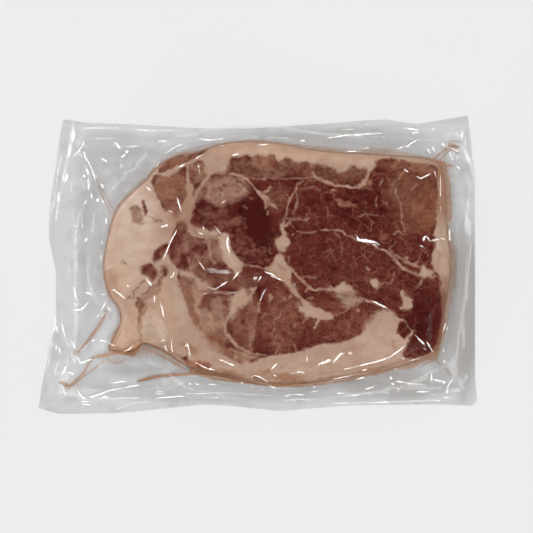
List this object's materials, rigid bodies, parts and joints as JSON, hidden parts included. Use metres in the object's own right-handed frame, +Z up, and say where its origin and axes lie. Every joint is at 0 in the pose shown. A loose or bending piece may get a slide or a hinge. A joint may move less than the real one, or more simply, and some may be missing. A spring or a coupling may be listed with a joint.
{
  "type": "vacuum-packed raw pork chop",
  "caption": "Raw boneless pork shoulder chop with marbled muscles and fat bands, vacuum packed in a clear rectangular film pouch that lies flat",
  "frame": {"origin": "middle of the underside, on the surface that the pack lies on", "axes": "+X along the pack, +Y across it towards the back edge, +Z up; the cut face of the chop looks up"},
  "size_m": [0.3, 0.204, 0.0217],
  "materials": {
    "raw_pork": "raw pork, wet dark red-brown muscle with cream-pink fat and fine marbling",
    "clear_film": "clear glossy vacuum film, creased and sealed round the edge",
    "meat_juice": "thin brown-pink meat juice pressed between the films round the chop"
  },
  "bodies": {
    "root": {"pork_chop": "raw_pork", "vacuum_pouch": "clear_film"}
  },
  "joints": []
}
